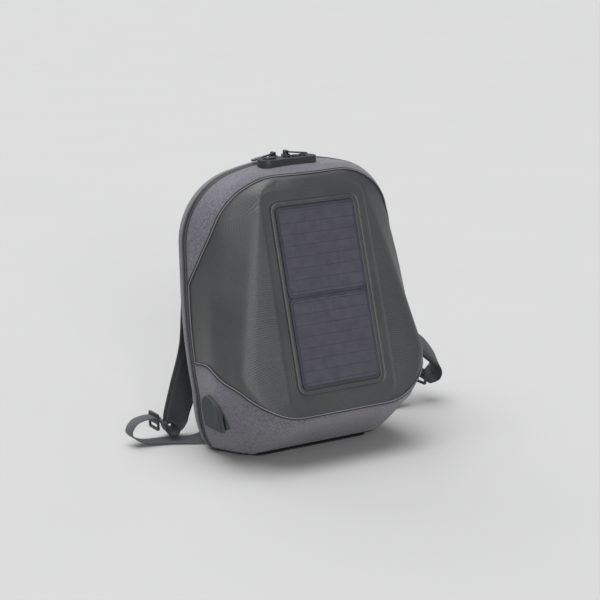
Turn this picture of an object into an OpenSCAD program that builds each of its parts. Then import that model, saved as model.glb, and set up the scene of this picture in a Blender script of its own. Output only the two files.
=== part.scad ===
// Clamshell backpack with a moulded front shell and a folded pair of solar panels.
// Front faces -Y, the wearer's back is at +Y, +Z is up. Millimetres.

/* [Body] */
// Height of the zip line above the floor
body_h = 430; // [400:5:460]
// Half width of the zip line at its widest
body_half_w = 173; // [166:1:178]
// Depth of the rear half, from the zip line to the back
rear_depth = 30; // [26:1:36]
// Wall of the padded fabric body
wall = 4; // [3:0.5:5]
// Radius of the top arc that the zip sliders run along
top_arc_r = 365; // [350:5:380]

/* [Shell and panels] */
// Lean of the front face from upright, in degrees
face_lean = 15.6; // [13:0.1:17]
// Distance from the zip line to the panels' lower edge
panel_reach = 150; // [140:1:155]
// Height of the panels' lower edge
panel_base_h = 118; // [112:1:124]
// Width of each solar panel
panel_w = 131.5; // [124:0.5:134]
// Height of each solar panel
panel_h = 132; // [124:1:133]
// Thickness of the moulded shell
shell_t = 3; // [2:0.5:4]

/* [Straps] */
// Width of a padded shoulder strap
strap_w = 62; // [50:1:68]
// Thickness of a padded shoulder strap
strap_t = 11; // [8:1:13]
// Width of the webbing
webbing_w = 25; // [20:1:25]
// Thickness of the webbing
webbing_t = 1.6; // [1.2:0.1:2]

/* [Lock and zip] */
// Length of the lock housing
lock_len = 92; // [88:1:98]
// Distance of the lock's middle from the centre line
lock_x = -12; // [-16:1:0]
// Radius of a lock dial
dial_r = 9; // [8.5:0.1:9.2]
// Radius of the lock's axle
axle_r = 2; // [1.8:0.1:2.2]
// Width of each side of the zip tape
tape_w = 7; // [6:0.5:8]
// Length of a zip puller
puller_len = 37; // [30:1:40]

/* [Hidden] */

zip_y = -12;          // the zip line's place, so that the origin is under the rear half
rim_gap = 0.2;        // each half stops this far short of the zip line
base_t = 2;           // thickness of the base guards
running = 0.05;       // radial clearance of a turning fit
fabric_grey = "#6b6872";
shell_grey = "#3f4143";
dark = "#26272b";
black = "#17181a";

// outline of the zip line: counts of points along each stretch of one half
n_top = 9;
n_corner = 9;
n_side = 13;
n_bend = 7;
n_base = 7;
corner_r = 104;       // upper corners
base_half_w = 160;    // half width where the lower bend starts
bend_h = 91;          // height where the lower bend starts
bend_w = 30;          // width of the lower bend

// outline of the shell's shoulder, in the leaning face's own plane
shoulder_top_w = 93;
shoulder_low_w = 154.5;
shoulder_top = 307;
shoulder_low = -46;
shoulder_top_r = 46;
shoulder_low_r = 86;
// outline of the flat middle of the face
face_top_w = 87;
face_low_w = 89;
face_top = 289;
face_low = -35;
face_r = 19.5;
shoulder_drop = 0.08; // how far the shoulder falls back for each unit that it lies outside the face
side_bulge = 19;      // how far the sides and the top swell out between the zip line and the shoulder
top_bulge = 5;
bulge_at = 0.57;      // where the swelling sits between the two
knee_at = 0.59;       // where the base turns up, from the zip line's width to the shoulder's

base_reach = 62;      // how far forward the flat base runs from the zip line
seam_high = 257;      // the shell meets the zip tape between these two heights
seam_low = 125;
seam_top_q = 6.4;     // the shell's edge at the top and at the bottom, in profile stations
seam_low_q = 9.3;
seam_min_q = 0.12;

// ---- small helpers
function lerp(a, b, t) = a + (b - a) * t;
function bez(a, b, c, t) = lerp(lerp(a, b, t), lerp(b, c, t), t);
function unit(v) = v / norm(v);
function rest(l) = [for (k = [1:len(l) - 1]) l[k]];
function arc(c, rx, rz, a0, a1, n) =
    [for (k = [0:n - 1]) let (a = lerp(a0, a1, k / (n - 1))) [c[0] + rx * cos(a), c[1] + rz * sin(a)]];
function line(a, b, n) = [for (k = [0:n - 1]) lerp(a, b, k / (n - 1))];

// ---- one half of each outline, from the top centre round to the bottom centre, inset by d
function rim_half(d) =
    let (cx = body_half_w - corner_r, top_c = body_h - top_arc_r, dx = cx,
         dz = sqrt(pow(top_arc_r - corner_r, 2) - dx * dx), cz = top_c + dz, a = atan2(dz, dx))
    concat(arc([0, top_c], top_arc_r - d, top_arc_r - d, 90, a, n_top),
        rest(arc([cx, cz], corner_r - d, corner_r - d, a, 0, n_corner)),
        rest([for (k = [0:n_side - 1]) let (s = k / (n_side - 1), e = max(0, (s - 0.3) / 0.7))
            [body_half_w - d - (body_half_w - base_half_w) * e * e, lerp(cz, bend_h, s)]]),
        rest(arc([base_half_w - bend_w, bend_h], bend_w - d, bend_h - base_t - d, 0, -90, n_bend)),
        rest(line([base_half_w - bend_w, base_t + d], [0, base_t + d], n_base)));
function plate_half(wt, wb, top, low, rt, rb, d) =
    concat(line([0, top - d], [wt - rt, top - d], n_top),
        rest(arc([wt - rt, top - rt], rt - d, rt - d, 90, 0, n_corner)),
        rest(line([wt - d, top - rt], [wb - d, low + rb], n_side)),
        rest(arc([wb - rb, low + rb], rb - d, rb - d, 0, -90, n_bend)),
        rest(line([wb - rb, low + d], [0, low + d], n_base)));
function on_plane(p, back) = [p[0], -panel_reach + p[1] * sin(face_lean) + back * cos(face_lean),
    panel_base_h + p[1] * cos(face_lean) - back * sin(face_lean)];
n_half = n_top + n_corner + n_side + n_bend + n_base - 4;
function full(h) = concat(h, [for (k = [n_half - 2:-1:1]) [-h[k][0], h[k][1], h[k][2]]]);

// ---- the front half's outer surface: eleven stations from the zip line to the face, inset by d
function stations(d, y0) =
    let (rim = rim_half(d),
         sho = plate_half(shoulder_top_w, shoulder_low_w, shoulder_top, shoulder_low,
             shoulder_top_r, shoulder_low_r, d),
         fac = plate_half(face_top_w, face_low_w, face_top, face_low, face_r, face_r, 0))
    [for (k = [0:n_half - 1])
        let (a = [rim[k][0], y0, rim[k][1]],
             gap = norm(sho[k] - fac[k]),
             b = on_plane(sho[k], d + gap * shoulder_drop), c = on_plane(fac[k], d),
             w = max(0, 1 - (rim[k][1] - base_t - d) / (bend_h - base_t)),
             out = unit([a[0], 0, a[2] - body_h / 2]),
             chord = lerp(a, b, bulge_at) + out * lerp(side_bulge, top_bulge, pow(max(0, out[2]), 2)),
             knee = [lerp(a[0], b[0], knee_at), -base_reach, a[2]],
             m = lerp(chord, knee, w > 1 ? 1 : w * w * (3 - 2 * w)))
        [a, lerp(a, m, 0.4), lerp(a, m, 0.78), bez(lerp(a, m, 0.78), m, lerp(m, b, 0.22), 0.5),
         lerp(m, b, 0.22), lerp(m, b, 0.48), lerp(m, b, 0.74), bez(lerp(m, b, 0.74), b, lerp(b, c, 0.4), 0.35),
         bez(lerp(m, b, 0.74), b, lerp(b, c, 0.4), 0.7), lerp(b, c, 0.45), c]];
function at(row, q) = let (i = min(floor(q), 9)) lerp(row[i], row[i + 1], q - i);
rim_z = [for (p = rim_half(0)) p[1]];
seam_q = [for (z = rim_z) z > seam_high ? max(seam_min_q, seam_top_q * (z - seam_high) / (body_h - seam_high))
    : z < seam_low ? max(seam_min_q, seam_low_q * pow((seam_low - z) / (seam_low - base_t), 0.58)) : seam_min_q];
outer = stations(0, -tape_w);
inner = stations(wall, -tape_w);
shell_in = stations(shell_t, -tape_w);
function fabric_ring(st, s) = full([for (k = [0:n_half - 1]) at(st[k], seam_q[k] * s)]);
function shell_ring(st, s) = full([for (k = [0:n_half - 1]) at(st[k], lerp(seam_q[k], 10, s))]);
seam_line = fabric_ring(outer, 1);

// ---- solids made of rings of points
function ring_faces(m, n, closed) = [for (r = [0:(closed ? m - 1 : m - 2)], k = [0:n - 1])
    let (a = r * n + k, b = r * n + (k + 1) % n, c = ((r + 1) % m) * n + k, d = ((r + 1) % m) * n + (k + 1) % n)
    each [[a, b, c], [b, d, c]]];
function flat_points(rings) = [for (r = rings) each r];
// rings that close on themselves, like a frame
module hoop(rings) {
    polyhedron(flat_points(rings), ring_faces(len(rings), len(rings[0]), true), convexity = 10);
}
function middle(ring) = [for (p = ring) 1] * ring / len(ring);
// rings with a flat cap at each end
module tube(rings) {
    m = len(rings);
    n = len(rings[0]);
    end = (m - 1) * n;
    caps = [for (k = [0:n - 1]) each [[m * n, (k + 1) % n, k], [m * n + 1, end + k, end + (k + 1) % n]]];
    polyhedron(concat(flat_points(rings), [middle(rings[0]), middle(rings[m - 1])]),
        concat(ring_faces(m, n, false), caps), convexity = 10);
}
// a smooth path through a few points
function smooth(p, n) = [for (i = [0:len(p) - 2], k = [0:n - 1])
        let (t = k / n, a = p[max(i - 1, 0)], b = p[i], c = p[i + 1], d = p[min(i + 2, len(p) - 1)])
        0.5 * (2 * b + (c - a) * t + (2 * a - 5 * b + 4 * c - d) * t * t + (3 * b - 3 * c + d - a) * t * t * t),
    p[len(p) - 1]];
function heading(p, k) = unit(p[min(k + 1, len(p) - 1)] - p[max(k - 1, 0)]);
function round_section(r, n) = [for (k = [0:n - 1]) [r * cos(360 * k / n), r * sin(360 * k / n)]];
function flat_section(w, t) = [[w / 2, -t / 5], [w / 2, t / 5], [w / 2 - t / 3, t / 2], [t / 3 - w / 2, t / 2],
    [-w / 2, t / 5], [-w / 2, -t / 5], [t / 3 - w / 2, -t / 2], [w / 2 - t / 3, -t / 2]];
function frame_at(p, k, side) = let (h = heading(p, k), n = unit(cross(h, side))) [cross(n, h), n];
module swept(path, sides, sections) {
    n = len(path);
    rings = [for (k = [0:n - 1])
        let (s = k / (n - 1) * (len(sides) - 1), i = min(floor(s), len(sides) - 2),
             f = frame_at(path, k, unit(lerp(sides[i], sides[i + 1], s - i))))
        [for (q = sections[k % len(sections)]) path[k] + f[0] * q[0] - f[1] * q[1]]];
    tube(rings);
}
module lead(points, r, n = 5) {
    path = smooth(points, n);
    swept(path, [[0.2, 0.3, 1], [0.2, 0.3, 1]], [round_section(r, 8)]);
}

// ---- exact plates
module rounded(w, h, r) {
    square([w - 2 * r, h], center = true);
    square([w, h - 2 * r], center = true);
    for (sx = [-1, 1], sy = [-1, 1])
        translate([sx * (w / 2 - r), sy * (h / 2 - r)]) circle(r, $fn = 32);
}
module plate(w, h, t, r) {
    linear_extrude(t) rounded(w, h, r);
}
module cushion(w, h, t, r) {
    hull() {
        linear_extrude(t * 0.5) rounded(w, h, r);
        linear_extrude(t) rounded(w - t, h - t, r);
    }
}
module placed() {
    translate([0, zip_y, 0]) children();
}
// x across, y up the face, z out of it, from the middle of the panels' lower edge
module on_face() {
    placed() translate([0, -panel_reach, panel_base_h]) rotate([90 - face_lean, 0, 0]) children();
}
// ---- rear half
function rear_ring(d, y) = full([for (p = rim_half(d)) [p[0], y, p[1]]]);
module rear_body() color(fabric_grey) placed() difference() {
    tube([rear_ring(14, rear_depth), rear_ring(6, rear_depth - 2), rear_ring(2, rear_depth - 7),
        rear_ring(0, rear_depth - 14), rear_ring(0, tape_w)]);
    translate([0, -0.01, 0]) tube([rear_ring(16, rear_depth - wall), rear_ring(9, rear_depth - wall - 2),
        rear_ring(wall, rear_depth - wall - 9), rear_ring(wall, tape_w)]);
}
module tape_hoop(side) {
    hoop([for (e = [[-0.8, 1], [-0.8, 0], [wall - 1, 0], [wall - 1, 1]])
        full([for (p = rim_half(e[0])) [p[0], side * lerp(rim_gap, tape_w, side > 0 ? e[1] : 1 - e[1]),
            max(p[1], base_t)]])]);
}
module rear_zipper_tape() color(dark) placed() tape_hoop(1);
module base_rear() color(dark) placed()
    translate([0, (rear_depth - 10) / 2 + 1, 0]) plate(196, rear_depth - 12, base_t, 6);
sleeve_w = 270;
sleeve_top = 290;
sleeve_low = 40;
module laptop_sleeve() color(dark) placed() difference() {
    translate([-sleeve_w / 2, 1.5, sleeve_low]) cube([sleeve_w, rear_depth - wall - 1.6, sleeve_top - sleeve_low]);
    translate([3 - sleeve_w / 2, 4, sleeve_low + 3])
        cube([sleeve_w - 6, rear_depth - wall - 4 - 1.5, sleeve_top - sleeve_low]);
}
back_z = 221;
module upright(y, z, x = 0) {
    placed() translate([x, y, z]) rotate([-90, 0, 0]) mirror([0, 1, 0]) children();
}
module back_stiffener() color("white") upright(rear_depth, back_z) plate(230, 332, 1.5, 20);
module back_panel() color(dark) upright(rear_depth + 1.5, back_z) plate(256, 352, 4, 28);
pad_y = rear_depth + 5.5;
module back_pad_left() color(black) upright(pad_y, 258, -62) cushion(92, 190, 10, 18);
module back_pad_right() color(black) upright(pad_y, 258, 62) cushion(92, 190, 10, 18);
module lumbar_pad() color(black) upright(pad_y, 98) cushion(216, 104, 12, 22);
yoke_z = 376;
module strap_yoke() color(dark) upright(pad_y, yoke_z) plate(156, 26, 3, 8);
wing_at = [122, rear_depth, 22];
module strap_wing(s) {
    placed() translate([s * wing_at[0], wing_at[1] + 3, wing_at[2]]) rotate([90, 0, 0])
        linear_extrude(3) polygon([[-s * 34, -14], [s * 18, -8], [s * 22, 12], [-s * 34, 20]]);
}
module strap_wing_left() color(dark) strap_wing(-1);
module strap_wing_right() color(dark) strap_wing(1);

// ---- front half
module front_body() color(fabric_grey) placed() difference() {
    hoop(concat([for (k = [0:8]) fabric_ring(outer, k / 8)], [for (k = [5:-1:0]) fabric_ring(inner, k / 5)]));
    usb_frame() translate([0, 0, -12]) usb_outline(0.2, 30);
    translate([lock_x, lock_y, lock_z - 10]) plate(lock_len + 0.4, lock_depth + 0.4, 30, 12.2);
}
module hard_shell() color(shell_grey) placed() difference() {
    tube(concat([for (k = [5:-1:0]) shell_ring(shell_in, k / 5)], [for (k = [0:10]) shell_ring(outer, k / 10)]));
    translate([0, -panel_reach, panel_base_h]) rotate([90 - face_lean, 0, 0])
        translate([28, 70, -10]) cylinder(r = 4, h = 20, $fn = 24);
}
module shell_piping() color(black) placed() {
    n = len(seam_line);
    mid = [0, -60, 230];
    rings = [for (k = [0:n - 1])
        let (p = seam_line[k], h = unit(seam_line[(k + 1) % n] - seam_line[(k + n - 1) % n]),
             o = unit(cross(h, cross(p - mid, h))), b = cross(h, o))
        [for (a = [0:60:300]) p + o * (1.7 + 1.5 * cos(a)) - b * 1.5 * sin(a)]];
    hoop(rings);
}
module front_zipper_tape() color(dark) placed() tape_hoop(-1);
module base_front() color(dark) placed() translate([0, -(base_reach - 4) / 2 - 2, 0]) plate(200, base_reach - 6, base_t, 16);

pair_mid = panel_h;   // height of the joint between the two panels
module panel_bezel() color(black) on_face() difference() {
    translate([0, pair_mid, 0]) plate(panel_w + 14, 2 * panel_h + 16, 1.6, 14);
    translate([0, pair_mid, -1]) plate(panel_w + 1, 2 * panel_h + 3, 4, 8);
}
module solar_panel(y) {
    on_face() translate([0, y, 0]) plate(panel_w, panel_h - 0.6, 1.6, 8);
}
module solar_cells(y) {
    on_face() translate([0, y, 1.6]) plate(panel_w - 9, panel_h - 9, 0.5, 6);
}
module solar_panel_upper() color("#45434f") solar_panel(panel_h * 1.5);
module solar_panel_lower() color("#45434f") solar_panel(panel_h * 0.5);
module solar_cells_upper() color("#3b3a52") solar_cells(panel_h * 1.5);
module solar_cells_lower() color("#3b3a52") solar_cells(panel_h * 0.5);
module regulator_case() color(black) on_face() difference() {
    translate([0, 36, -shell_t - 15]) plate(76, 50, 15, 4);
    translate([0, 36, -shell_t - 13]) plate(72, 46, 11, 2);
    translate([28, 50, -shell_t - 9]) rotate([-90, 0, 0]) cylinder(r = 2.2, h = 20, $fn = 24);
    translate([-30, 20, -shell_t - 9]) rotate([90, 0, 0]) cylinder(r = 2.2, h = 20, $fn = 24);
}
module regulator_board() color("green") on_face() translate([0, 36, -shell_t - 13]) plate(68, 42, 1.6, 1);
module panel_lead() color(black) placed()
    translate([0, -panel_reach, panel_base_h]) rotate([90 - face_lean, 0, 0])
        lead([[28, 72, 0], [28, 72, -4], [28, 72, -10], [28, 66, -12], [28, 56, -12]], 2);

// ---- charging port on the wearer's left side
usb_at = [-155, -57, 75];
usb_tilt = 10;        // lean of the housing, its foot inwards
usb_w = 50;
arch_mid = 7;         // height of the arch's centre above the housing's middle
usb_out = 14;         // how far the housing stands out of its seat
mouth = [4, -17, 4];  // the recess in the housing, open towards the front
mouth_h = 34;
cover_gap = 0.3;
cover_t = 2;
cover_top = 22;       // height of the cover's hinge above the housing's middle
// x forwards, y up, z out of the left side
function usb_point(x, y, z) = usb_at + [-z * cos(usb_tilt) - y * sin(usb_tilt), -x,
    y * cos(usb_tilt) - z * sin(usb_tilt)];
module usb_frame() {
    translate(usb_at) rotate([0, -usb_tilt, 0]) rotate([90, 0, -90]) children();
}
module usb_outline(grow, h) {
    linear_extrude(h) {
        translate([0, arch_mid]) circle(r = usb_w / 2 + grow, $fn = 64);
        intersection() {
            translate([0, 2 * arch_mid - 3]) rounded(usb_w + 2 * grow, 60 + 2 * grow, 4);
            translate([-usb_w, arch_mid - 60]) square([2 * usb_w, 60]);
        }
    }
}
module usb_housing() color("#33353a") placed() usb_frame() difference() {
    translate([0, 0, -3]) usb_outline(0, usb_out + 3);
    translate(mouth) cube([30, mouth_h, 8]);
    translate([8, 0, -4]) cylinder(r = 2.2, h = 10, $fn = 32);
}
module usb_socket() color("silver") placed() usb_frame() difference() {
    translate([4, -9, 4.5]) cube([13, 18, 7]);
    translate([6, -6.5, 5.4]) cube([20, 13, 5.2]);
}
module usb_cover() color(black) placed() usb_frame() intersection() {
    difference() {
        translate([0, 0, 8]) usb_outline(cover_gap + cover_t, 5);
        translate([0, 0, 1]) usb_outline(cover_gap, 14);
    }
    translate([10, mouth[1] - 2, 0]) cube([30, cover_top - mouth[1] + 2, 20]);
}
module port_lead() color(black) placed()
    lead([usb_point(8, 0, 4.4), usb_point(8, 0, -3), [-138, -70, 77], [-112, -92, 88], [-70, -118, 97],
        [-38, -136, 106], on_plane([-30, 1], 12), on_plane([-30, 14], 12)], 1.8);
module organiser_pocket() color(dark) on_face() difference() {
    translate([-70, 96, -shell_t - 20]) cube([140, 130, 20]);
    translate([-67, 99, -shell_t - 18]) cube([134, 140, 19]);
}

// ---- lock, on top of the front half
lock_y = -24;
lock_z = 420;
lock_top = 435;
lock_depth = 30;
dial_z = 429;
dial_x = [0, 13, 26];
module on_lock() placed() translate([lock_x, 0, 0]) children();
module lock_plate() color("silver") on_lock() translate([-30, lock_y - 10, lock_z - 3]) cube([60, 20, 1.5]);
module lock_housing() color("#2b2c2e") on_lock() difference() {
    translate([0, lock_y, lock_z]) plate(lock_len, lock_depth, lock_top - lock_z, 12);
    for (x = dial_x) translate([x - 4, lock_y - dial_r - 1, dial_z - dial_r - 1])
        cube([8, 2 * dial_r + 2, 30]);
    translate([-8, lock_y, dial_z]) rotate([0, 90, 0]) cylinder(r = axle_r, h = 42, $fn = 48);
    translate([-29, lock_y, lock_top - 8]) plate(20.4, 12.4, 10, 6);
}
module lock_axle() color("silver") on_lock() translate([-8, lock_y, dial_z]) rotate([0, 90, 0])
    cylinder(r = axle_r, h = 42, $fn = 48);
module lock_dial(k) {
    on_lock() translate([dial_x[k] - 3.5, lock_y, dial_z]) rotate([0, 90, 0]) difference() {
        cylinder(r = dial_r, h = 7, $fn = 60);
        translate([0, 0, -1]) cylinder(r = axle_r + running, h = 9, $fn = 48);
        for (a = [0:36:324]) rotate(a) translate([dial_r + 1, 0, -1]) cylinder(r = 1.8, h = 9, $fn = 24);
    }
}
module lock_dial_1() color(black) lock_dial(0);
module lock_dial_2() color(black) lock_dial(1);
module lock_dial_3() color(black) lock_dial(2);
module lock_button() color("#3a3b3e") on_lock() translate([-29, lock_y, lock_top - 4.5]) plate(20, 12, 7, 5.9);

// ---- zip sliders and pullers, on the top arc
arc_centre = [0, body_h - top_arc_r];
slider_x = [-21, 0];
module on_arc(x) {
    placed() translate([0, 0, arc_centre[1]]) rotate([0, asin(x / top_arc_r), 0])
        translate([0, 0, top_arc_r + 1.1]) children();
}
pin_z = 8;
puller_droop = 8;     // a puller's tip hangs down to the zip by this angle
module slider(x) {
    on_arc(x) {
        translate([-5, -5.5, 0]) cube([10, 11, 5]);
        for (y = [-4.5, 2.5]) translate([-2.5, y, 4]) cube([5, 2, 6.5]);
        translate([0, 4.5, pin_z]) rotate([90, 0, 0]) cylinder(r = 1, h = 9, $fn = 32);
    }
}
module puller(x, s) {
    on_arc(x) translate([0, 0, pin_z]) rotate([0, s * puller_droop, 0]) difference() {
        union() {
            translate([0, 2.2, 0]) rotate([90, 0, 0]) cylinder(r = 2.3, h = 4.4, $fn = 32);
            translate([s > 0 ? 1 : 1 - puller_len, -2.2, -1]) cube([puller_len - 2, 4.4, 2]);
            translate([s * (puller_len - 9), 0, -1]) plate(18, 9, 2, 4);
        }
        translate([0, 3, 0]) rotate([90, 0, 0]) cylinder(r = 1 + running, h = 6, $fn = 32);
    }
}
module slider_left() color("#46474a") slider(slider_x[0]);
module slider_right() color("#46474a") slider(slider_x[1]);
module puller_left() color(dark) puller(slider_x[0], -1);
module puller_right() color(dark) puller(slider_x[1], 1);

// ---- carry handle, hanging behind the top
handle_half = 46;
handle_at = [0, rear_depth + 9, 404];
handle_pin_r = 2;
module handle_mount() color(dark) placed() for (s = [-1, 1]) difference() {
    translate([s * (handle_half + 12) - 4, rear_depth, handle_at[2] - 5]) cube([8, 14, 10]);
    translate([s * (handle_half + 12) - 8, handle_at[1], handle_at[2]]) rotate([0, 90, 0])
        cylinder(r = handle_pin_r + running, h = 16, $fn = 32);
}
module carry_handle() color(dark) placed() translate(handle_at) {
    swept(smooth([[-46, 0, 0], [-45, 8, 0], [-32, 20, -1], [0, 25, -2], [32, 20, -1], [45, 8, 0], [46, 0, 0]], 4),
        [[0, 0, 1], [0, 0, 1]], [flat_section(20, 5)]);
    translate([-65, 0, 0]) rotate([0, 90, 0]) cylinder(r = handle_pin_r, h = 130, $fn = 32);
}

// ---- shoulder straps, webbing and ladder locks
left_route = [[-50, 48, 364], [-54, 60, 376], [-62, 84, 366], [-78, 106, 310], [-96, 112, 225],
    [-110, 106, 140], [-135, 99, 76], [-150, 95, 40], [-156, 93, 19], [-168, 92, 17], [-178, 92, 32]];
right_route = [[50, 48, 364], [54, 60, 376], [68, 86, 366], [100, 108, 312], [144, 106, 236],
    [196, 90, 168], [244, 66, 116], [276, 50, 86], [293, 44, 62], [287, 43, 42], [270, 43, 38]];
function strap_sections(n) = [for (k = [0:n - 1]) let (s = k / (n - 1))
    flat_section(strap_w * (0.8 + 0.2 * sin(180 * min(1, s * 1.25))) * (s > 0.9 ? 0.75 : 1),
        s > 0.8 ? strap_t * lerp(1, 0.5, (s - 0.8) * 5) : strap_t)];
module strap(route, low_side, end_side) {
    path = smooth(route, 3);
    placed() swept(path, [[1, 0, 0], [1, 0.1, 0], [0.9, 0.4, 0], low_side, end_side], strap_sections(len(path)));
}
module shoulder_strap_left() color(dark) strap(left_route, [0.8, 0.6, 0], [0, 1, 0]);
module shoulder_strap_right() color(dark) strap(right_route, [0.43, 0.65, 0.1], [-0.1, 1, 0.2]);
left_webbing = [[-126, 42, 14], [-142, 58, 5], [-176, 78, 4], [-212, 88, 6], [-232, 92, 20],
    [-224, 92, 36], [-206, 92, 41], [-184, 92, 40]];
right_webbing = [[126, 42, 13.2], [142, 44, 5], [180, 44, 4], [215, 43, 8], [236, 43, 20],
    [243, 43, 36], [251, 43, 50], [275, 43, 50]];
module webbing(route) {
    placed() swept(smooth(route, 4), [[0, 1, 0.2], [0, 1, 0], [0, 1, 0]], [flat_section(webbing_w, webbing_t)]);
}
module webbing_left() color(dark) webbing(left_webbing);
module webbing_right() color(dark) webbing(right_webbing);
lock_bar = 3.5;
module ladder_lock() {
    difference() {
        plate(32, 26, lock_bar, 3);
        for (y = [-6, 6]) translate([0, y, -1]) plate(26.4, 6, 6, 1);
    }
}
module ladder_lock_left() color(black) placed() translate([-192, 92, 34]) rotate([90, 0, 90]) ladder_lock();
module ladder_lock_right() color(black) placed() translate([262, 43, 44]) rotate([90, 0, 90]) ladder_lock();

rear_body();
rear_zipper_tape();
base_rear();
laptop_sleeve();
back_stiffener();
back_panel();
back_pad_left();
back_pad_right();
lumbar_pad();
strap_yoke();
strap_wing_left();
strap_wing_right();
handle_mount();
front_body();
hard_shell();
shell_piping();
front_zipper_tape();
base_front();
panel_bezel();
solar_panel_upper();
solar_panel_lower();
solar_cells_upper();
solar_cells_lower();
regulator_case();
regulator_board();
panel_lead();
usb_housing();
usb_socket();
usb_cover();
port_lead();
organiser_pocket();
lock_plate();
lock_housing();
lock_axle();
lock_dial_1();
lock_dial_2();
lock_dial_3();
lock_button();
slider_left();
slider_right();
puller_left();
puller_right();
carry_handle();
shoulder_strap_left();
shoulder_strap_right();
webbing_left();
webbing_right();
ladder_lock_left();
ladder_lock_right();
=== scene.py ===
"""Looks for a clamshell solar backpack: moulded woven shell, melange fabric, straps and a padded back."""
import math
import bmesh
import bpy
import numpy as np
from mathutils import Matrix, Vector


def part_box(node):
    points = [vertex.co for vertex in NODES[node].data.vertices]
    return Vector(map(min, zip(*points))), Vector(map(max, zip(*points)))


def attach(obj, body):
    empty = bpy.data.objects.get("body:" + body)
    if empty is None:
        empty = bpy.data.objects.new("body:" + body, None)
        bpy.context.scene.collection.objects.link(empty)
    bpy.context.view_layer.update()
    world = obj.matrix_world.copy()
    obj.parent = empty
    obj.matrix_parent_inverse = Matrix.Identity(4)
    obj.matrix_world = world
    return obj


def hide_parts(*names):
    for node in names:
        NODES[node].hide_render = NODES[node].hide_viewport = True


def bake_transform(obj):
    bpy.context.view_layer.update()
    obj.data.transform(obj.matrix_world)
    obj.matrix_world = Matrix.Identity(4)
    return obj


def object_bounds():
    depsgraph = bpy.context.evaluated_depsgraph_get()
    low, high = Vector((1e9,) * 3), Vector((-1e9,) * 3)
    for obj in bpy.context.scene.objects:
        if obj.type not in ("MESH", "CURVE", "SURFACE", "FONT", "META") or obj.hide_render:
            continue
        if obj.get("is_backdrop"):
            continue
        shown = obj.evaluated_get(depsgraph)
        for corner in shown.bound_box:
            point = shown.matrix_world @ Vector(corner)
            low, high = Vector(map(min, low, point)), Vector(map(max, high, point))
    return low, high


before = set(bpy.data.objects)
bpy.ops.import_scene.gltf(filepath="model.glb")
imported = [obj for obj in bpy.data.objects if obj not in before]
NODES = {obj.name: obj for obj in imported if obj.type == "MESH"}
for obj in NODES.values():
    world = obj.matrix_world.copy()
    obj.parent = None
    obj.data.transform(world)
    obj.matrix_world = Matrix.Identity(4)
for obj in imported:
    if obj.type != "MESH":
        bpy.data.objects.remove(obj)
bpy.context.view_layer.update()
MM = 0.001

# ---------------- camera, fitted to the photo
ZIP_LINE = Vector((0, -0.012, 0))
AZIMUTH, ELEVATION, ROLL = -29.84, 13.16, 1.41
LENS, DISTANCE, ASIDE, ABOVE = 108, 2.763, 0.01075, 0.208


def make_camera():
    az, el, roll = (math.radians(a) for a in (AZIMUTH, ELEVATION, ROLL))
    back = Vector((math.sin(az) * math.cos(el), -math.cos(az) * math.cos(el), math.sin(el)))
    right0 = Vector((math.cos(az), math.sin(az), 0))
    up0 = back.cross(right0)
    right = right0 * math.cos(roll) - up0 * math.sin(roll)
    up = up0 * math.cos(roll) + right0 * math.sin(roll)
    data = bpy.data.cameras.new("camera")
    data.lens = LENS
    data.clip_end = 50
    place = Matrix((right, up, back)).transposed().to_4x4()
    place.translation = ZIP_LINE + back * DISTANCE + right * ASIDE + up * ABOVE
    cam = bpy.data.objects.new("camera", data)
    cam.matrix_world = place
    bpy.context.scene.collection.objects.link(cam)
    bpy.context.scene.camera = cam


make_camera()
bpy.context.scene.view_settings.view_transform = "Standard"

# ---------------- materials
def linear(code):
    c = [int(code[i:i + 2], 16) / 255 for i in (1, 3, 5)]
    return [v / 12.92 if v <= 0.04045 else ((v + 0.055) / 1.055) ** 2.4 for v in c] + [1.0]


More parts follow.
